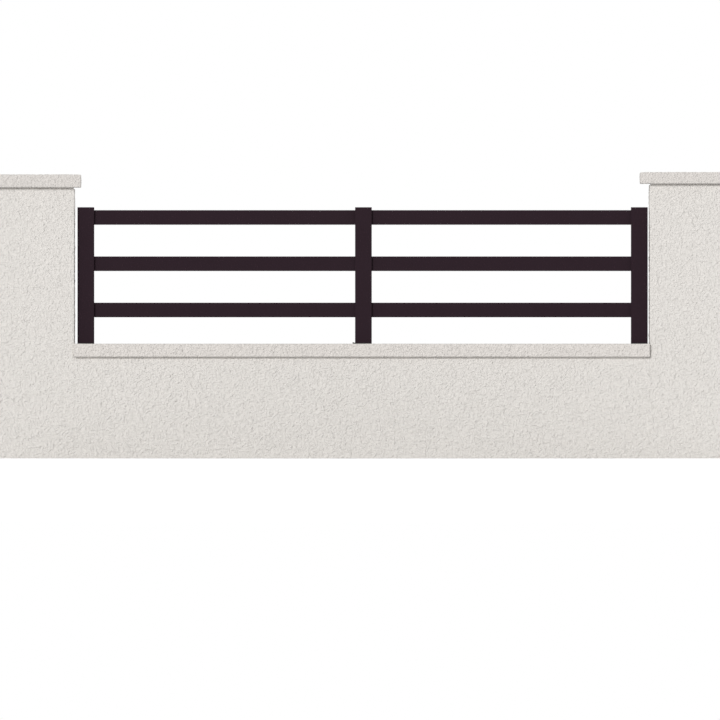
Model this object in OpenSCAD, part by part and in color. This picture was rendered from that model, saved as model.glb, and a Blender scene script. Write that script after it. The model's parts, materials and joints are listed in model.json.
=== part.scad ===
// Slatted garden fence: a two-bay aluminium railing with three slats a bay, standing on the
// coping of a low rendered wall between two rendered piers.
// Millimetres, +Z up. The street side faces -Y and the slats run along X.
// The origin is on the ground, midway between the piers and at the middle of their depth.

/* [Masonry] */
// Clear width between the two piers
opening_w = 2760; // [1800:10:4000]
// Width of a pier along the fence
pier_w = 400; // [300:10:600]
// Depth of a pier, back from the street face that it shares with the wall
pier_d = 400; // [320:10:600]
// How far the left pier's shaft rises above the railing
left_pier_rise = 88; // [40:1:400]
// How far the right pier's shaft rises above the railing
right_pier_rise = 106; // [40:1:400]
// Thickness of the low wall
wall_t = 200; // [150:10:280]
// Height of the low wall, up to its mortar bed
wall_h = 480; // [300:10:900]
// Radius of the rendered pier corners
corner_r = 6; // [2:1:12]

/* [Coping and caps] */
// Thickness of the wall coping
coping_t = 62; // [40:1:90]
// How far the coping stands out from the wall, front and back
coping_overhang = 25; // [20:1:60]
// Thickness of the left pier's cap
left_cap_t = 62; // [40:1:90]
// Thickness of the right pier's cap
right_cap_t = 55; // [40:1:90]
// How far a pier cap stands out from its pier at the front, the back and the outer side
cap_overhang = 40; // [25:1:60]
// How far the left pier's cap stands out over the railing
left_cap_inner = 32; // [25:1:60]
// How far the right pier's cap stands out over the railing
right_cap_inner = 46; // [25:1:60]
// Height of the raked mortar beds under the coping and the caps
bed_t = 8; // [6:1:15]
// Depth to which the mortar beds are raked back
bed_rake = 6; // [4:1:20]
// Width of the bevel along the top edges of the coping and the caps
arris = 4; // [2:1:8]
// Width of the drip groove under an overhang
drip_w = 8; // [5:1:10]
// Depth of the drip groove
drip_depth = 6; // [3:1:10]
// Distance from an outer face to the drip groove
drip_inset = 9; // [6:1:12]

/* [Posts] */
// Height of the railing above the coping, to the top of a post cap
railing_h = 655; // [500:5:900]
// Outer width of a square post
post_w = 80; // [70:5:100]
// Wall thickness of the post section
post_wall = 2.5; // [2:0.5:4]
// Outer corner radius of the post section
post_r = 2; // [1:0.5:4]
// Gap between the left pier and the left post
left_gap = 15; // [5:1:40]
// Gap between the right post and the right pier
right_gap = 9; // [5:1:40]
// How far the middle post stands to the right of the middle of the opening
middle_shift = 7; // [-60:1:60]
// Outer radius of the screw channels inside the post corners
channel_r = 4.4; // [4:0.1:5]
// Radius of the screw hole in a channel
channel_hole_r = 2.1; // [1.5:0.1:2.4]
// Distance from a channel's centre to the two post walls beside it
channel_inset = 3.6; // [3.4:0.1:4]
// Width of the slit that opens a channel to the inside of the post
channel_slit = 1.6; // [1:0.1:2.4]

/* [Post caps] */
// Thickness of the post cap's top plate
post_cap_t = 4; // [3:0.5:6]
// Width of the bevel along the plate's top edges
post_cap_bevel = 1.2; // [0.5:0.1:2]
// Clearance between the four tongues under the plate and the top slat's end
tongue_gap = 1; // [0.5:0.5:3]
// Thickness of a tongue
tongue_t = 2; // [1.5:0.5:3]
// Width of a tongue, and of an arm of the post foot
tongue_w = 46; // [30:1:48]

/* [Post feet] */
// Thickness of the foot plate under a post
foot_t = 8; // [6:1:12]
// Free height between the foot's spigot and the bottom slat's end
spigot_gap = 26; // [2:1:60]
// Wall thickness of the spigot
spigot_wall = 6; // [4:1:10]
// Diameter of the anchor hole through the foot plate and its pad
anchor_d = 14; // [10:1:18]
// Diameter of the two screw holes in the back of a foot
screw_d = 5; // [4:0.5:6]
// Clearance round a screw where it passes through the post
screw_gap = 0.3; // [0.2:0.1:0.5]
// Distance from either end of the spigot to a screw
screw_edge = 20; // [10:1:24]
// Thickness of the rubber pad under a foot
pad_t = 5; // [3:0.5:6]
// Clearance between the post's inside and what is pushed into it
push_gap = 0.3; // [0.2:0.1:0.6]

/* [Levelling wedge] */
// Width of the wedge under the middle foot
wedge_w = 30; // [20:1:40]
// How far the wedge stands out to the left of the foot
wedge_out = 12; // [6:0.5:20]
// Thickness of the wedge's thin end
wedge_tip = 1; // [0.5:0.5:2]
// Rise of the wedge for each millimetre of its length
wedge_slope = 0.25; // [0.1:0.01:0.3]
// Clearance round the wedge in the slot of the rubber pad
wedge_gap = 0.5; // [0.3:0.1:1]

/* [Slats] */
// Height of a slat
slat_h = 70; // [50:5:90]
// Depth of a slat, front to back
slat_d = 40; // [20:1:44]
// Wall thickness of the slat section
slat_wall = 2; // [1.5:0.5:3]
// Outer corner radius of the slat section
slat_r = 1.5; // [1:0.5:4]
// Length of slat that is pushed into a post
slat_in = 22; // [12:1:30]
// Free height between the coping and the bottom slat
bottom_gap = 127; // [116:1:160]
// Distance from the top of a post cap down to the top slat
top_gap = 14; // [10:1:40]
// Play beside and above a slat in its slot in the post
slot_play = 0.5; // [0.3:0.1:1]

/* [Hidden] */
$fn = 48;
eps = 1;  // how far a cutter runs past a face

// Heights
coping_z = wall_h + bed_t;
seat_z = coping_z + coping_t;
foot_z = seat_z + pad_t;
post_z = foot_z + foot_t;
railing_top_z = seat_z + railing_h;
cap_plate_z = railing_top_z - post_cap_t;
bottom_slat_z = seat_z + bottom_gap;
top_slat_z = railing_top_z - top_gap - slat_h;
slat_levels = [bottom_slat_z, (bottom_slat_z + top_slat_z) / 2, top_slat_z];
left_pier_h = railing_top_z + left_pier_rise;
right_pier_h = railing_top_z + right_pier_rise;
spigot_h = bottom_slat_z - spigot_gap - post_z;
tongue_h = top_gap - post_cap_t - tongue_gap;
BOTTOM = 0;
MIDDLE = 1;
TOP = 2;

// Depths
street_y = -pier_d / 2;
wall_y = street_y + wall_t / 2;

// Places along the fence
pier_x = (opening_w + pier_w) / 2;
left_post_x = -opening_w / 2 + left_gap + post_w / 2;
middle_post_x = middle_shift;
right_post_x = opening_w / 2 - right_gap - post_w / 2;
post_inner = post_w - 2 * post_wall;

render_colour = "#dbd7d2";
coping_colour = "#d9d4cf";
mortar_colour = "#b9b4ae";
metal_colour = "#30252b";
rubber_colour = "#222224";
wedge_colour = "#4a4d49";

// A rectangle centred on the origin with true arcs at its corners
module rounded_rect(size, r) {
    square([size.x - 2 * r, size.y], center = true);
    square([size.x, size.y - 2 * r], center = true);
    for (sx = [-1, 1], sy = [-1, 1])
        translate([sx * (size.x / 2 - r), sy * (size.y / 2 - r)])
            circle(r);
}

// A long slab's cross-section, centred and standing on the axis, with bevelled top edges
module bevelled_section(w, t, bevel) {
    polygon([
        [-w / 2, 0], [w / 2, 0], [w / 2, t - bevel],
        [w / 2 - bevel, t], [-w / 2 + bevel, t], [-w / 2, t - bevel]
    ]);
}

// A section drawn across Y and Z, run along X and centred
module run_along_x(length) {
    rotate([90, 0, 90])
        linear_extrude(length, center = true)
            children();
}

// A section drawn across X and Z, run along Y and centred
module run_along_y(length) {
    rotate([90, 0, 0])
        linear_extrude(length, center = true)
            children();
}

// A plate standing on z = 0 with all four top edges bevelled
module bevelled_plate(size, t, bevel) {
    intersection() {
        run_along_x(size.x) bevelled_section(size.y, t, bevel);
        run_along_y(size.y) bevelled_section(size.x, t, bevel);
    }
}

// Rendered pier shaft. side is +1 where the wall meets its right face and -1 where it meets
// its left face: there the street corner stays square, so that the render runs on flush.
module pier(x, side, h) {
    color(render_colour)
        translate([x, 0, 0]) {
            linear_extrude(h) rounded_rect([pier_w, pier_d], corner_r);
            translate([side * (pier_w - corner_r) / 2, street_y + corner_r / 2, seat_z / 2])
                cube([corner_r, corner_r, seat_z], center = true);
        }
}

// Low rendered wall between the piers
module base_wall() {
    color(render_colour)
        translate([-opening_w / 2, street_y, 0])
            cube([opening_w, wall_t, wall_h]);
}

// Mortar bed, raked back from the faces of what it lies on
module mortar_bed(x, y, z, size) {
    color(mortar_colour)
        translate([x, y, z + bed_t / 2])
            cube([size.x, size.y, bed_t], center = true);
}

// Pier cap with bevelled top edges and a drip groove all round its underside. side is +1 where
// the railing lies to the right of the pier and -1 where it lies to the left.
module pier_cap(x, side, pier_h, t, inner_overhang) {
    size = [pier_w + cap_overhang + inner_overhang, pier_d + 2 * cap_overhang];
    groove = size - 2 * drip_inset * [1, 1];
    color(coping_colour)
        translate([x + side * (inner_overhang - cap_overhang) / 2, 0, pier_h + bed_t])
            difference() {
                bevelled_plate(size, t, arris);
                translate([0, 0, -eps])
                    linear_extrude(drip_depth + eps)
                        difference() {
                            square(groove, center = true);
                            square(groove - 2 * drip_w * [1, 1], center = true);
                        }
            }
}

// Wall coping with a drip groove under its front and its back overhang
module wall_coping() {
    w = wall_t + 2 * coping_overhang;
    color(coping_colour)
        translate([0, wall_y, coping_z])
            run_along_x(opening_w)
                difference() {
                    bevelled_section(w, coping_t, arris);
                    for (side = [-1, 1])
                        translate([side * (w / 2 - drip_inset - drip_w / 2), (drip_depth - eps) / 2])
                            square([drip_w, drip_depth + eps], center = true);
                }
}

// Rubber pad under a post foot, with a hole for the anchor
module foot_pad(x) {
    color(rubber_colour)
        translate([x, wall_y, seat_z])
            linear_extrude(pad_t)
                difference() {
                    rounded_rect([post_w, post_w], post_r);
                    circle(d = anchor_d);
                }
}

// The wedge is as thick as the pad where it passes under the edge of the foot
wedge_in = (pad_t - wedge_tip) / wedge_slope;
wedge_edge_x = middle_post_x - post_w / 2;

// Rubber pad of the middle foot, with a slot for the levelling wedge
module slotted_foot_pad() {
    slot = [wedge_in + wedge_gap + eps, wedge_w + 2 * wedge_gap, pad_t + 2 * eps];
    color(rubber_colour)
        difference() {
            foot_pad(middle_post_x);
            translate([wedge_edge_x - eps, wall_y - slot.y / 2, seat_z - eps])
                cube(slot);
        }
}

// Levelling wedge, its thick end standing out to the left of the middle foot
module levelling_wedge() {
    color(wedge_colour)
        translate([wedge_edge_x, wall_y, seat_z])
            run_along_y(wedge_w)
                polygon([
                    [-wedge_out, 0], [wedge_in, 0], [wedge_in, wedge_tip],
                    [-wedge_out, pad_t + wedge_out * wedge_slope]
                ]);
}

// Holes for the two screws that hold a post on its foot, from the spigot's hollow to the back.
// They are drawn from the top of the foot plate.
module screw_holes(d) {
    for (z = [screw_edge, spigot_h - screw_edge])
        translate([0, 0, z])
            rotate([-90, 0, 0])
                cylinder(d = d, h = post_w / 2 + eps);
}

// Cast post foot: a plate of the post's outline and a hollow cross-shaped spigot
module post_foot(x) {
    reach = post_inner - 2 * push_gap;
    color(metal_colour)
        translate([x, wall_y, foot_z])
            difference() {
                union() {
                    linear_extrude(foot_t) rounded_rect([post_w, post_w], post_r);
                    linear_extrude(foot_t + spigot_h)
                        difference() {
                            union() {
                                square([reach, tongue_w], center = true);
                                square([tongue_w, reach], center = true);
                            }
                            square((tongue_w - 2 * spigot_wall) * [1, 1], center = true);
                        }
                }
                translate([0, 0, -eps]) cylinder(d = anchor_d, h = foot_t + 2 * eps);
                translate([0, 0, foot_t]) screw_holes(screw_d);
            }
}

// Post section: a square tube with an open screw channel in each corner
module post_section() {
    inner = post_inner / 2;
    difference() {
        union() {
            difference() {
                rounded_rect([post_w, post_w], post_r);
                square(post_inner, center = true);
            }
            intersection() {
                square(post_inner + post_wall, center = true);
                for (sx = [-1, 1], sy = [-1, 1])
                    translate([sx, sy] * (inner - channel_inset)) circle(channel_r);
            }
        }
        for (sx = [-1, 1], sy = [-1, 1])
            translate([sx, sy] * (inner - channel_inset)) {
                circle(channel_hole_r);
                rotate(atan2(-sy, -sx))
                    translate([0, -channel_slit / 2])
                        square([channel_r + eps, channel_slit]);
            }
    }
}

// Post with a slot for each slat. slots is 1 for slots in the right side, -1 for the left.
module post(x, slots) {
    slot = [post_wall + 2 * eps, slat_d + 2 * slot_play, slat_h + slot_play];
    color(metal_colour)
        translate([x, wall_y, 0])
            difference() {
                translate([0, 0, post_z]) linear_extrude(cap_plate_z - post_z) post_section();
                for (side = slots, z = slat_levels)
                    translate([side * (post_w - post_wall) / 2, 0, z + slot.z / 2])
                        cube(slot, center = true);
                translate([0, 0, post_z]) screw_holes(screw_d + 2 * screw_gap);
            }
}

// Post cap: a bevelled plate with four tongues that grip the inside of the post
module post_cap(x) {
    tongue_y = post_inner / 2 - push_gap - tongue_t / 2;
    color(metal_colour)
        translate([x, wall_y, cap_plate_z]) {
            intersection() {
                bevelled_plate([post_w, post_w], post_cap_t, post_cap_bevel);
                linear_extrude(post_cap_t) rounded_rect([post_w, post_w], post_r);
            }
            for (turn = [0 : 90 : 270])
                rotate(turn)
                    translate([-tongue_w / 2, tongue_y - tongue_t / 2, -tongue_h])
                        cube([tongue_w, tongue_t, tongue_h + post_cap_t / 2]);
        }
}

// Slat section: a flat hollow profile, stiffened by a web at half its height
module slat_section() {
    chamber_h = (slat_h - 3 * slat_wall) / 2;
    difference() {
        rounded_rect([slat_d, slat_h], slat_r);
        for (side = [-1, 1])
            translate([0, side * (chamber_h + slat_wall) / 2])
                square([slat_d - 2 * slat_wall, chamber_h], center = true);
    }
}

// Slat that runs from one post to the next, with both ends pushed into them
module slat(from_x, to_x, level) {
    clear = to_x - from_x - post_w;
    color(metal_colour)
        translate([(from_x + to_x) / 2, wall_y, slat_levels[level] + slat_h / 2])
            run_along_x(clear + 2 * slat_in)
                slat_section();
}

pier(-pier_x, 1, left_pier_h);  // left_pier
pier(pier_x, -1, right_pier_h);  // right_pier
base_wall();
mortar_bed(-pier_x, 0, left_pier_h, [pier_w, pier_d] - 2 * bed_rake * [1, 1]);  // left_cap_bed
mortar_bed(pier_x, 0, right_pier_h, [pier_w, pier_d] - 2 * bed_rake * [1, 1]);  // right_cap_bed
mortar_bed(0, wall_y, wall_h, [opening_w, wall_t - 2 * bed_rake]);  // coping_bed
pier_cap(-pier_x, 1, left_pier_h, left_cap_t, left_cap_inner);  // left_pier_cap
pier_cap(pier_x, -1, right_pier_h, right_cap_t, right_cap_inner);  // right_pier_cap
wall_coping();
foot_pad(left_post_x);  // left_foot_pad
slotted_foot_pad();  // middle_foot_pad
foot_pad(right_post_x);  // right_foot_pad
levelling_wedge();
post_foot(left_post_x);  // left_foot
post_foot(middle_post_x);  // middle_foot
post_foot(right_post_x);  // right_foot
post(left_post_x, [1]);  // left_post
post(middle_post_x, [-1, 1]);  // middle_post
post(right_post_x, [-1]);  // right_post
post_cap(left_post_x);  // left_post_cap
post_cap(middle_post_x);  // middle_post_cap
post_cap(right_post_x);  // right_post_cap
slat(left_post_x, middle_post_x, BOTTOM);  // left_bay_bottom_slat
slat(left_post_x, middle_post_x, MIDDLE);  // left_bay_middle_slat
slat(left_post_x, middle_post_x, TOP);  // left_bay_top_slat
slat(middle_post_x, right_post_x, BOTTOM);  // right_bay_bottom_slat
slat(middle_post_x, right_post_x, MIDDLE);  // right_bay_middle_slat
slat(middle_post_x, right_post_x, TOP);  // right_bay_top_slat
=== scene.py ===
import json
import math

import bpy
import numpy as np
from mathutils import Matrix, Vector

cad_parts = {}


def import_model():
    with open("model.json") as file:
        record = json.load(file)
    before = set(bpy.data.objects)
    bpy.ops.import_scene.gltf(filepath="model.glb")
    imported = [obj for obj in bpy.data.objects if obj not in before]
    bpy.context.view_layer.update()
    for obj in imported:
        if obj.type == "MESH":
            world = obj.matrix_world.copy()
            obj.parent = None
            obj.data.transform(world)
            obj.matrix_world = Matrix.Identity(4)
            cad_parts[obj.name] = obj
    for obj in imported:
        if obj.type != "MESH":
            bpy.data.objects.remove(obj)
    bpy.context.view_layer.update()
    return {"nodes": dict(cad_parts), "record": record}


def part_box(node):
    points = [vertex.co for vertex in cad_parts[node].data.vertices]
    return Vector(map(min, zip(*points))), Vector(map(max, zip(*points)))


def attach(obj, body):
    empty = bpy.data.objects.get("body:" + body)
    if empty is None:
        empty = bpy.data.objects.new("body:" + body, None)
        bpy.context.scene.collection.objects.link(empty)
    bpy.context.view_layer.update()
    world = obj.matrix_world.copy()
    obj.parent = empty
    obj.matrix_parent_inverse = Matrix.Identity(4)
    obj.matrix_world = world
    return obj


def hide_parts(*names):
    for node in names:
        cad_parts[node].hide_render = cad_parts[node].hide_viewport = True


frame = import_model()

MM = 0.001
nodes = frame["nodes"]

# Meshes of the rendered and cast faces
STEP = 6.2 * MM          # spacing of the points over a rendered face
SLAB_STEP = 1.15 * STEP  # the same over a pier cap
HIDDEN_STEP = 24 * MM    # the same on faces that nothing shows
ARC_PARTS = 3            # parts of a rounded corner
SHARP_ANGLE = math.radians(48)
PIER_EASE = 3 * MM       # rounding of the render at a pier's corners
TOP_EASE = 3 * MM        # rounding of the render at the top of the wall
SQUARE = 0.15 * MM       # what is left of a corner where two pieces meet
COPING_EASE = 4 * MM     # rounding of the top edges of coping and caps
SLAB_EASE = 2 * MM       # rounding of the coping's lower edges
GROOVE_EASE = 0.8 * MM   # rounding inside the coping's drip grooves
GROOVE_WALL = 0.4 * MM   # slope of the sides of the caps' drip grooves
DRIP_INSET = 9 * MM
DRIP_W = 8 * MM
DRIP_DEPTH = 6 * MM
UNDERSIDE = -0.9         # a normal whose height is below this belongs to an underside

# Screws in the backs of the posts
SCREW_EDGE = 20 * MM     # distance from either end of the foot's spigot
SCREW_R = 2.4 * MM
SCREW_GRIP = 4 * MM      # length below the head
SCREW_HEAD_R = 4.75 * MM
SCREW_HEAD_H = 2.7 * MM
DOME_ANGLE = math.radians(62)
DOME_PARTS = 6
SOCKET_W = 3 * MM        # across the flats
SOCKET_DEPTH = 1.5 * MM
SOCKET_POINT = 0.2 * MM  # what the socket's floor falls to its middle
PINHOLE = 0.02 * MM
SCREW_PARTS = 48         # a multiple of six, for the socket's corners

# Relief of the render: short waves and a slow swell
RELIEF_SEED = 11
WAVES = 150
SHORTEST_WAVE = 20 * MM
LONGEST_WAVE = 34 * MM
RENDER_RELIEF = 1.05 * MM
SWELL_WAVES = 24
SHORTEST_SWELL = 0.12
LONGEST_SWELL = 0.6
SWELL_RELIEF = 0.12 * MM
LEVEL_SHARE = 0.15       # share of the relief on level faces
ARRIS_SHARE = 0.15       # share of the relief at an arris, which a bead keeps straight
ARRIS_REACH = 26 * MM    # distance from an arris at which the relief is whole
CAP_SINK = 2.2 * MM      # how far the caps' relief lies inside their outer faces

# Grain, tints and painted shade of the render
RENDER_GRAIN = 10.5 * MM
CAST_GRAIN = 9.5 * MM
FINE_GRAIN = 1.2 * MM
CLOUD_SIZE = 160 * MM
GRAIN_DEPTH = 14 * MM
FINE_SHARE = 0.03        # height of the fine grain as a share of the coarse one
LEVEL_GRAIN = 0.35       # share of the grain's depth on level faces, which a float smooths
CLOUD_TINT = 0.05
# painted shade, with some dust: the render's colour darkens where its relief lies low
HOLLOW_SHADE_AND_DUST_TINT = 0.1
# painted shade, with some dust: the grain's colour darkens in the pits of its bump and pales on its
# crests
PIT_SHADE_AND_DUST_TINT = 0.4
TINT_RANGE = 0.14        # how far the tints take the colour either way

# Place of the photograph's frame on the fence
FRAME_W = 3.453
FRAME_X = -0.0094
FRAME_Z = 0.472
LENS = 1600
SENSOR = 36

# Light
WORLD_LEVEL = 0.37
FLOOR_REACH = 60
FLOOR_GREY = 0.8
FLOOR_GLOW = 0.33        # lifts the unshaded floor to white for the camera alone


class Wire:
    """One output in a material's nodes. Arithmetic on it adds Math nodes."""

    def __init__(self, finish, socket):
        self.finish = finish
        self.socket = socket

    def math(self, operation, first, second):
        return self.finish.node("ShaderNodeMath", {"operation": operation}, {0: first, 1: second})

    def __add__(self, other):
        return self.math("ADD", self, other)

    def __radd__(self, other):
        return self.math("ADD", other, self)

    def __sub__(self, other):
        return self.math("SUBTRACT", self, other)

    def __rsub__(self, other):
        return self.math("SUBTRACT", other, self)

    def __mul__(self, other):
        return self.math("MULTIPLY", self, other)

    def __rmul__(self, other):
        return self.math("MULTIPLY", other, self)


class Finish:
    """The nodes of one material, or of the world."""

    def __init__(self, owner):
        owner.use_nodes = True
        self.owner = owner
        self.tree = owner.node_tree
        self.tree.nodes.clear()

    def node(self, kind, settings=None, sockets=None, output=0):
        """Adds a node: its settings first, then the value or the link of each socket.

        Sockets go by identifier, name or number.
        """
        made = self.tree.nodes.new(kind)
        for name, value in (settings or {}).items():
            setattr(made, name, value)
        by_name = {s.identifier: s for s in made.inputs}
        for name, value in (sockets or {}).items():
            socket = by_name[name] if name in by_name else made.inputs[name]
            if isinstance(value, Wire):
                self.tree.links.new(value.socket, socket)
            else:
                socket.default_value = value
        if not made.outputs:
            return None
        outputs = {s.identifier: s for s in made.outputs}
        return Wire(self, outputs[output] if output in outputs else made.outputs[output])

    def place(self):
        return self.node("ShaderNodeTexCoord", output="Object")

    def noise(self, size, detail=2.0):
        """Noise whose blotches are about as wide as size, from 0 to 1."""
        return self.node(
            "ShaderNodeTexNoise",
            {"noise_dimensions": "3D"},
            {"Vector": self.place(), "Scale": 1 / size, "Detail": detail},
        )

    def blend(self, share, first, second):
        """Colour that goes from first to second as share goes from 0 to 1."""
        start = first if isinstance(first, Wire) else (*first, 1.0)
        return self.node(
            "ShaderNodeMix",
            {"data_type": "RGBA"},
            {"Factor_Float": share, "A_Color": start, "B_Color": (*second, 1.0)},
            output="Result_Color",
        )

    def upward(self):
        """Height of the surface's normal, 1 where it looks up and -1 where it looks down."""
        normal = self.node("ShaderNodeNewGeometry", output="Normal")
        return self.node("ShaderNodeSeparateXYZ", None, {"Vector": normal}, output="Z")

    def ramp(self, value, start, end, first, last):
        """Goes straight from first to last while value goes from start to end."""
        return self.node(
            "ShaderNodeMapRange",
            None,
            {"Value": value, "From Min": start, "From Max": end, "To Min": first, "To Max": last},
        )

    def bump(self, height, depth, strength):
        return self.node(
            "ShaderNodeBump", None, {"Strength": strength, "Distance": depth, "Height": height}
        )

    def surface(self, **sockets):
        """Closes a material with a Principled shader. An underscore stands for a space."""
        names = {name.replace("_", " "): value for name, value in sockets.items()}
        shader = self.node("ShaderNodeBsdfPrincipled", None, names)
        self.node("ShaderNodeOutputMaterial", None, {"Surface": shader})
        return self.owner


def new_finish(name):
    return Finish(bpy.data.materials.new(name))


# Finishes

def scaled(colour, by):
    return tuple(c * by for c in colour)


def coat_finish(name, colour, grain):
    """Mineral render: pale, with faint clouds and a coarse grain. Its colour is darker in the
    hollows of the relief and in the pits of the grain, and paler on the grain's crests: painted
    shade, with some dust.
    """
    f = new_finish(name)
    hollow = f.node("ShaderNodeAttribute", {"attribute_name": "hollow"}, output="Fac")
    clouds = f.noise(CLOUD_SIZE, detail=3)
    sand = f.noise(grain, detail=2)
    fine = f.noise(FINE_GRAIN)
    up = f.upward()
    steep = f.ramp(up * up, 0.3, 0.9, 1.0, LEVEL_GRAIN)
    # painted shade and dust: darker in the relief's hollows and the grain's pits, paler on the
    # grain's crests; the clouds are the render's own tone
    tone_and_painted_shade = (clouds - 0.5) * CLOUD_TINT - (hollow - 0.5) * HOLLOW_SHADE_AND_DUST_TINT + (sand - 0.5) * PIT_SHADE_AND_DUST_TINT
    darkest, palest = scaled(colour, 1 - TINT_RANGE), scaled(colour, 1 + TINT_RANGE)
    return f.surface(
        Base_Color=f.blend(0.5 + tone_and_painted_shade, darkest, palest),
        Roughness=0.9 + (fine - 0.5) * 0.1,
        Normal=f.bump((sand - 0.5 + fine * FINE_SHARE) * steep, GRAIN_DEPTH, 1.0),
        Specular_IOR_Level=0.2,
    )


def mortar_finish():
    f = new_finish("bedding_mortar")
    grain = f.noise(3 * MM, detail=3)
    return f.surface(
        Base_Color=f.blend(grain, (0.72, 0.70, 0.675), (0.86, 0.84, 0.815)),
        Roughness=0.95,
        Normal=f.bump(grain, 0.6 * MM, 0.8),
        Specular_IOR_Level=0.15,
    )


def powder_finish():
    """Powder coat with a fine texture: nearly black and warm, dull, a little dusty on top."""
    f = new_finish("dark_powder_coat")
    orange_peel = f.noise(1.1 * MM)
    clouds = f.noise(90 * MM)
    coat = f.blend(clouds, (0.0127, 0.0041, 0.0082), (0.0149, 0.0054, 0.0102))
    dust = f.ramp(f.upward(), 0.6, 1.0, 0.0, 0.03) * (0.4 + f.noise(30 * MM, detail=4))
    return f.surface(
        Base_Color=f.blend(dust, coat, (0.30, 0.28, 0.25)),
        Roughness=0.62 + (orange_peel - 0.5) * 0.12,
        Normal=f.bump(orange_peel, 0.12 * MM, 0.35),
        Specular_IOR_Level=0.115,
    )


def screw_finish():
    """Blackened stainless steel, a little worn to bare metal in places."""
    f = new_finish("blackened_screw")
    wear = f.noise(1.4 * MM, detail=3)
    return f.surface(
        Base_Color=f.blend(wear, (0.016, 0.015, 0.017), (0.060, 0.058, 0.060)),
        Roughness=0.34 + wear * 0.2,
        Normal=f.bump(wear, 0.05 * MM, 0.3),
        Metallic=0.7,
    )


def pad_finish():
    f = new_finish("black_rubber")
    grain = f.noise(2 * MM)
    return f.surface(
        Base_Color=f.blend(grain, (0.012, 0.012, 0.013), (0.020, 0.020, 0.022)),
        Roughness=0.8,
        Normal=f.bump(grain, 0.2 * MM, 0.4),
        Specular_IOR_Level=0.2,
    )


def wedge_finish():
    """Grey plastic with moulded ribs across the wedge."""
    f = new_finish("grey_wedge_plastic")
    ribs = f.node(
        "ShaderNodeTexWave",
        {"wave_type": "BANDS", "bands_direction": "X"},
        {"Vector": f.place(), "Scale": 1 / (2.5 * MM) / math.tau, "Distortion": 0.0},
    )
    grain = f.noise(1.5 * MM)
    return f.surface(
        Base_Color=f.blend(grain, (0.062, 0.068, 0.060), (0.080, 0.087, 0.078)),
        Roughness=0.6,
        Normal=f.bump(ribs, 0.4 * MM, 0.5),
        Specular_IOR_Level=0.3,
    )


# Shapes

class Relief:
    """Heights of a render coat, from the place alone, so that it runs on from piece to piece.

    Each of many plane waves is a cosine of the distance along a direction of its own, with its
    own length and start. The height is their sum, scaled to the wanted root mean square.
    """

    def __init__(self, seed):
        rng = np.random.default_rng(seed)
        self.fine = self.draw_waves(rng, WAVES, SHORTEST_WAVE, LONGEST_WAVE, RENDER_RELIEF)
        self.swell = self.draw_waves(rng, SWELL_WAVES, SHORTEST_SWELL, LONGEST_SWELL, SWELL_RELIEF)

    @staticmethod
    def draw_waves(rng, count, shortest, longest, rms):
        direction = rng.normal(size=(3, count))
        direction /= np.linalg.norm(direction, axis=0)
        length = shortest * (longest / shortest) ** rng.random(count)
        start = rng.uniform(0, math.tau, count)
        weight = length / math.sqrt((length**2).mean()) * rms * math.sqrt(2 / count)
        return direction * math.tau / length, start, weight

    @staticmethod
    def add_up(points, waves):
        vectors, start, weight = waves
        return np.cos(points @ vectors + start) @ weight

    def __call__(self, points):
        return self.add_up(points, self.fine) + self.add_up(points, self.swell)


relief = Relief(RELIEF_SEED)


def eased_outline(corners, radii, steps):
    """Closed anticlockwise outline and its outward normals.

    Each corner is an arc of its own radius, tangent to the two sides that meet there. The side
    that follows a corner is cut into equal parts, about its own step long.
    """
    corners = np.asarray(corners, float)
    back = np.roll(corners, 1, axis=0) - corners
    back /= np.linalg.norm(back, axis=1, keepdims=True)
    on = np.roll(corners, -1, axis=0) - corners
    on /= np.linalg.norm(on, axis=1, keepdims=True)
    turn = np.arctan2(-back[:, 0] * on[:, 1] + back[:, 1] * on[:, 0], -(back * on).sum(axis=1))
    reach = (radii * np.tan(np.abs(turn) / 2))[:, None]
    first, last = corners + back * reach, corners + on * reach
    points, normals = [], []
    for i, radius in enumerate(radii):
        out = np.array([-back[i, 1], back[i, 0]])
        angle = np.linspace(0, turn[i], ARC_PARTS + 1)[:, None]
        normal = np.cos(angle) * out + np.sin(angle) * np.array([-out[1], out[0]])
        side = np.sign(turn[i]) * radius
        points.append(first[i] + side * (normal - out))
        normals.append(normal)
        end = first[(i + 1) % len(corners)]
        whole = np.linalg.norm(corners[(i + 1) % len(corners)] - corners[i])
        parts = max(1, round(whole / steps[i]))
        share = np.arange(1, parts)[:, None] / parts
        points.append(last[i] + share * (end - last[i]))
        normals.append(np.repeat(np.array([[on[i, 1], -on[i, 0]]]), parts - 1, axis=0))
    return np.concatenate(points), np.concatenate(normals)


def ring_faces(rings, around):
    """Quads between each ring of points and the next, with a plain face on both ends."""
    i, j = np.meshgrid(np.arange(rings - 1), np.arange(around), indexing="ij")
    k = (j + 1) % around
    this, following = i * around, (i + 1) * around
    quads = np.stack([this + j, this + k, following + k, following + j], -1)
    start = np.arange(around)[::-1]
    end = (rings - 1) * around + np.arange(around)
    return quads.reshape(-1, 4).tolist() + [start.tolist(), end.tolist()]


def put_mesh(name, points, faces, hollow, finish, slot, *replaced):
    """Makes a piece of points and faces that rides on the fence."""
    mesh = bpy.data.meshes.new(name)
    mesh.from_pydata(points, [], faces)
    mesh.shade_smooth()
    mesh.set_sharp_from_angle(angle=SHARP_ANGLE)
    if hollow is not None:
        # the share of painted shade and dust in the render's hollows
        kept = mesh.attributes.new("hollow", "FLOAT", "POINT")
        kept.data.foreach_set("value", hollow.astype(np.float32))
    mesh.materials.append(finish)
    piece = bpy.data.objects.new(name, mesh)
    bpy.context.scene.collection.objects.link(piece)
    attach(piece, "root")
    if replaced:
        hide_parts(*replaced)
    return piece


def hollow_of(height):
    """Share from 0 at twice the usual height over the mean face to 1 at twice under it. It darkens
    the render's colour in the relief's hollows: painted shade, with some dust.
    """
    return np.clip(0.5 - height / (4 * RENDER_RELIEF), 0, 1)


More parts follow.
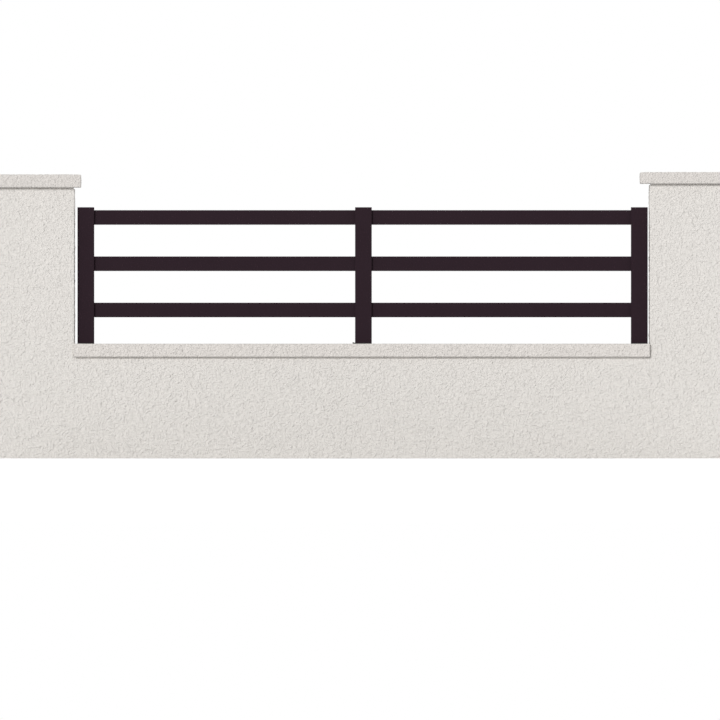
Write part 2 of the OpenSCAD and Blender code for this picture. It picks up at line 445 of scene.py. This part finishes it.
def cuts(low, high, step):
    """Even places from low to high, about a step apart."""
    return np.linspace(low, high, max(2, round((high - low) / step)) + 1)


def beside(distance):
    """Share of the relief at a distance from an arris.

    It rises to the whole in an S: three times the square of the distance less twice its cube,
    the distance being told as a share of ARRIS_REACH.
    """
    t = np.clip(distance / ARRIS_REACH, 0, 1)
    return ARRIS_SHARE + (1 - ARRIS_SHARE) * t * t * (3 - 2 * t)


def section_share(section, normals, arrises):
    """Share of the relief along a section: little on level faces and beside its arrises."""
    gap = np.linalg.norm(section[:, None] - np.array(arrises), axis=2).min(axis=1)
    return beside(gap) * (1 - (1 - LEVEL_SHARE) * np.abs(normals[:, 1]))


def pier_coat(node, wall_side, coping_top, finish):
    """Render of one pier: its rounded plan, carried straight up, with the relief on its normals.

    Up to the coping the street corner towards the wall stays square, so that the render of pier
    and wall runs on as one face.
    """
    low, high = (np.array(c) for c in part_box(node))
    plan = [(low[0], low[1]), (high[0], low[1]), (high[0], high[1]), (low[0], high[1])]
    wall_corner = 1 if wall_side > 0 else 0
    eased = np.full(4, PIER_EASE)
    square = eased.copy()
    square[wall_corner] = SQUARE
    # both plans have the same number of points
    eased_plan, eased_normals = eased_outline(plan, eased, [STEP] * 4)
    square_plan, square_normals = eased_outline(plan, square, [STEP] * 4)
    heights = cuts(low[2], high[2], STEP)
    below = (heights < coping_top)[:, None, None]
    out = np.where(below, square_normals, eased_normals)
    shape = (len(heights), len(eased_plan))
    points = np.zeros((*shape, 3))
    points[..., :2] = np.where(below, square_plan, eased_plan)
    points[..., 2] = heights[:, None]
    gap = np.linalg.norm(points[..., None, :2] - np.array(plan), axis=3)
    # the corner by the wall is an arris only above the coping
    drop = np.maximum(coping_top - heights, 0)[:, None]
    gap[..., wall_corner] = np.hypot(gap[..., wall_corner], drop)
    height = relief(points) * beside(gap.min(axis=2)) * beside(high[2] - heights)[:, None]
    points[..., :2] += out * height[..., None]
    put_mesh(
        node + "_render", points.reshape(-1, 3), ring_faces(*shape), hollow_of(height).ravel(),
        finish, "render", node,
    )


def long_coat(name, node, section, normals, share, finish, slot):
    """A section across the fence, carried along it, with its share of the relief on its normals."""
    low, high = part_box(node)
    places = cuts(low[0], high[0], STEP)
    shape = (len(places), len(section))
    points = np.zeros((*shape, 3))
    points[..., 0] = places[:, None]
    points[..., 1:] = section
    height = relief(points) * share
    points[..., 1:] += normals * height[..., None]
    put_mesh(
        name, points.reshape(-1, 3), ring_faces(*shape), hollow_of(height).ravel(),
        finish, slot, node,
    )


def wall_coat(finish):
    """Render of the low wall: its section, with rounded top edges, carried from pier to pier."""
    low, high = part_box("base_wall")
    corners = [(low[1], low[2]), (high[1], low[2]), (high[1], high[2]), (low[1], high[2])]
    radii = np.array([SQUARE, SQUARE, TOP_EASE, TOP_EASE])
    section, normals = eased_outline(corners, radii, [HIDDEN_STEP, STEP, HIDDEN_STEP, STEP])
    share = section_share(section, normals, corners[2:]) * (section[:, 1] > low[2] + SQUARE)
    long_coat("wall_render", "base_wall", section, normals, share, finish, "render")


def coping_skin(finish):
    """Coping: its section, with eased edges and two drip grooves, carried from pier to pier."""
    (_, front, bottom), (_, back, top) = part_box("wall_coping")
    roof = bottom + DRIP_DEPTH
    f0, f1 = front + DRIP_INSET, front + DRIP_INSET + DRIP_W
    b0, b1 = back - DRIP_INSET, back - DRIP_INSET - DRIP_W
    corners = [
        (front, bottom), (f0, bottom), (f0, roof), (f1, roof), (f1, bottom),
        (b1, bottom), (b1, roof), (b0, roof), (b0, bottom), (back, bottom),
        (back, top), (front, top),
    ]
    groove = [GROOVE_EASE] * 4
    radii = np.array([SLAB_EASE, *groove, *groove, SLAB_EASE, COPING_EASE, COPING_EASE])
    section, normals = eased_outline(corners, radii, [STEP] * len(corners))
    outer_corners = [corners[i] for i in (0, 9, 10, 11)]
    share = section_share(section, normals, outer_corners)
    long_coat("coping_slab", "wall_coping", section, normals, share, finish, "coping")


def slab_cuts(low, high, ease, extra):
    """Places across a slab: close together round its eased edges, even between them."""
    tilt = np.tan(np.linspace(math.pi / 4, 0, ARC_PARTS))
    near = low + ease * (1 - tilt)
    far = high - ease * (1 - tilt)
    between = cuts(low + ease, high - ease, SLAB_STEP)
    return np.unique(np.round(np.concatenate([near, between, far, extra]), 7))


def cap_slab(node, finish):
    """Pier cap: a box with eased edges, with a drip groove round its underside.

    Six grids are welded where they meet. A point of the box goes to the nearest point of an
    inner box and from there out by the ease, so that the edges come round.
    """
    low, high = (np.array(c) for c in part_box(node))
    rims = DRIP_INSET + np.array([0, GROOVE_WALL, DRIP_W - GROOVE_WALL, DRIP_W])
    rim_cuts = [np.concatenate([low[k] + rims, high[k] - rims]) for k in range(2)] + [[]]
    lists = [slab_cuts(low[k], high[k], COPING_EASE, rim_cuts[k]) for k in range(3)]
    counts = [len(c) for c in lists]
    strides = np.array([1, counts[0], counts[0] * counts[1]])
    faces = []
    for axis in range(3):
        u, v = (axis + 1) % 3, (axis + 2) % 3
        i, j = np.meshgrid(np.arange(counts[u]), np.arange(counts[v]), indexing="ij")
        for end in (0, counts[axis] - 1):
            code = i * strides[u] + j * strides[v] + end * strides[axis]
            quads = np.stack([code[:-1, :-1], code[1:, :-1], code[1:, 1:], code[:-1, 1:]], -1)
            faces.append(quads.reshape(-1, 4)[:, :: 1 if end else -1])
    used, welded = np.unique(np.concatenate(faces), return_inverse=True)
    index = [used // strides[k] % counts[k] for k in range(3)]
    box = np.stack([lists[k][index[k]] for k in range(3)], -1)
    core = np.clip(box, low + COPING_EASE, high - COPING_EASE)
    out = box - core
    out /= np.linalg.norm(out, axis=1, keepdims=True)
    underside = out[:, 2] < UNDERSIDE
    from_faces = np.minimum(box - low, high - box)
    from_groove = np.abs(from_faces[:, :2].min(axis=1) - DRIP_INSET - DRIP_W / 2)
    # of the three distances from faces, the second smallest is the one from the nearest arris
    height = relief(box) * beside(np.sort(from_faces, axis=1)[:, 1])
    sunk = np.where(underside, 0, np.minimum(height - CAP_SINK, 0))
    points = core + out * (COPING_EASE + sunk)[:, None]
    points[underside & (from_groove < (DRIP_W - GROOVE_WALL) / 2), 2] += DRIP_DEPTH
    put_mesh(
        node + "_slab", points, welded.reshape(-1, 4).tolist(), hollow_of(height),
        finish, "coping", node,
    )


def button_screw(name, at, finish):
    """Button-head screw with a hexagon socket. Its axis runs backwards, with the head at the back.

    A profile of radius against height is turned round the axis. Inside the socket the radius
    becomes that of a hexagon: half the width across flats over the cosine of the angle from the
    middle of the nearest flat.
    """
    slope = np.linspace(0, DOME_ANGLE, DOME_PARTS + 1)
    dome = np.stack([SCREW_HEAD_R * np.cos(slope), SCREW_HEAD_H * np.sin(slope)], -1)
    rim = dome[-1, 1]
    shank = [(0, -SCREW_GRIP), (SCREW_R, -SCREW_GRIP), (SCREW_R, 0)]
    socket = [
        (SOCKET_W / 2, rim), (SOCKET_W / 2, rim - SOCKET_DEPTH),
        (0, rim - SOCKET_DEPTH - SOCKET_POINT),
    ]
    profile = np.concatenate([shank, dome, socket])
    in_socket = np.arange(len(profile)) >= len(profile) - len(socket)
    angle = np.arange(SCREW_PARTS) * math.tau / SCREW_PARTS
    flat = (angle + math.pi / 6) % (math.pi / 3) - math.pi / 6
    stretch = np.where(in_socket[:, None], 1 / np.cos(flat), 1)
    # the first and the last ring shrink to a pinhole, which the end faces close
    radius = np.maximum(profile[:, :1], PINHOLE) * stretch
    depth = np.repeat(profile[:, 1:], SCREW_PARTS, axis=1)
    points = at + np.stack([radius * np.cos(angle), depth, -radius * np.sin(angle)], -1)
    faces = ring_faces(len(profile), SCREW_PARTS)
    put_mesh(name, points.reshape(-1, 3), faces, None, finish, "railing")


def post_screws(finish):
    """Two screws through the back of each post into its foot."""
    for side in ("left", "middle", "right"):
        low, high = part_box(side + "_post")
        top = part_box(side + "_foot")[1][2]
        for place, z in (("lower", low[2] + SCREW_EDGE), ("upper", top - SCREW_EDGE)):
            at = np.array([(low[0] + high[0]) / 2, high[1], z])
            button_screw(f"{side}_post_{place}_screw", at, finish)


# Camera, floor and light

def camera():
    """Eye far off in front of the street faces, where the photograph's frame is FRAME_W wide."""
    data = bpy.data.cameras.new("camera")
    data.lens = LENS
    data.sensor_width = SENSOR
    data.clip_start = 1
    data.clip_end = 1000
    eye = bpy.data.objects.new("camera", data)
    street_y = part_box("base_wall")[0][1]
    eye.location = (FRAME_X, street_y - FRAME_W / SENSOR * LENS, FRAME_Z)
    eye.rotation_euler = (math.pi / 2, 0, 0)
    bpy.context.scene.collection.objects.link(eye)
    bpy.context.scene.camera = eye


def floor():
    """Pale floor, white to the camera where no shadow falls."""
    mesh = bpy.data.meshes.new("floor")
    r = FLOOR_REACH
    mesh.from_pydata([(-r, -r, 0), (r, -r, 0), (r, r, 0), (-r, r, 0)], [], [(0, 1, 2, 3)])
    f = new_finish("pale_floor")
    seen = f.node("ShaderNodeLightPath", output="Is Camera Ray")
    matt = f.node("ShaderNodeBsdfDiffuse", None, {"Color": (FLOOR_GREY,) * 3 + (1,)})
    glow = f.node("ShaderNodeEmission", None, {"Color": (1, 1, 1, 1), "Strength": FLOOR_GLOW})
    both = f.node("ShaderNodeAddShader", None, {0: matt, 1: glow})
    mixed = f.node("ShaderNodeMixShader", None, {0: seen, 1: matt, 2: both})
    f.node("ShaderNodeOutputMaterial", None, {"Surface": mixed})
    mesh.materials.append(f.owner)
    ground = bpy.data.objects.new("floor", mesh)
    bpy.context.scene.collection.objects.link(ground)


def sun(name, azimuth, elevation, strength, spread):
    """A soft sun. Azimuth 0 shines from the street, 90 from the right."""
    data = bpy.data.lights.new(name, "SUN")
    data.energy = strength
    data.angle = math.radians(spread)
    lamp = bpy.data.objects.new(name, data)
    lamp.rotation_euler = (math.radians(90 - elevation), 0, math.radians(azimuth))
    bpy.context.scene.collection.objects.link(lamp)


def world():
    """Even light from all round, which the camera, reflections and glass see as white."""
    surroundings = bpy.data.worlds.new("world")
    bpy.context.scene.world = surroundings
    f = Finish(surroundings)
    rays = ("Is Camera Ray", "Is Glossy Ray", "Is Transmission Ray")
    eye, gloss, glass = (f.node("ShaderNodeLightPath", output=ray) for ray in rays)
    clamped = {"operation": "ADD", "use_clamp": True}
    shows = f.node("ShaderNodeMath", clamped, {0: eye + gloss, 1: glass})
    plain = f.node("ShaderNodeBackground", None, {"Color": (1, 1, 1, 1), "Strength": WORLD_LEVEL})
    white = f.node("ShaderNodeBackground", None, {"Color": (1, 1, 1, 1), "Strength": 1.0})
    mixed = f.node("ShaderNodeMixShader", None, {0: shows, 1: plain, 2: white})
    f.node("ShaderNodeOutputWorld", None, {"Surface": mixed})


# The fence

pale_render = coat_finish("pale_render", (0.716, 0.688, 0.655), RENDER_GRAIN)
cast_coping = coat_finish("cast_coping", (0.702, 0.666, 0.632), CAST_GRAIN)
# the caps are the coping's cast stone, made a little darker only to offset the extra light that
# reaches them: painted shade
cast_cap_painted_shade = coat_finish("cast_cap_painted_shade", (0.682, 0.648, 0.616), CAST_GRAIN)

coping_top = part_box("wall_coping")[1][2]
pier_coat("left_pier", 1, coping_top, pale_render)
pier_coat("right_pier", -1, coping_top, pale_render)
wall_coat(pale_render)
coping_skin(cast_coping)
cap_slab("left_pier_cap", cast_cap_painted_shade)
cap_slab("right_pier_cap", cast_cap_painted_shade)
post_screws(screw_finish())

by_slot = {
    "mortar": mortar_finish(),
    "railing": powder_finish(),
    "pad": pad_finish(),
    "wedge": wedge_finish(),
    "render": pale_render,
    "coping": cast_coping,
}
for part in frame["record"]["subparts"]:
    node = nodes[part["node"]]
    node.data.materials.clear()
    node.data.materials.append(by_slot[part["material_slot"]])

camera()
floor()
world()
sun("key", azimuth=-18, elevation=18, strength=2.2, spread=14)
sun("right_fill", azimuth=113, elevation=30, strength=1.5, spread=30)
sun("left_fill", azimuth=-118, elevation=30, strength=1.0, spread=30)

bpy.context.scene.view_settings.view_transform = "Standard"
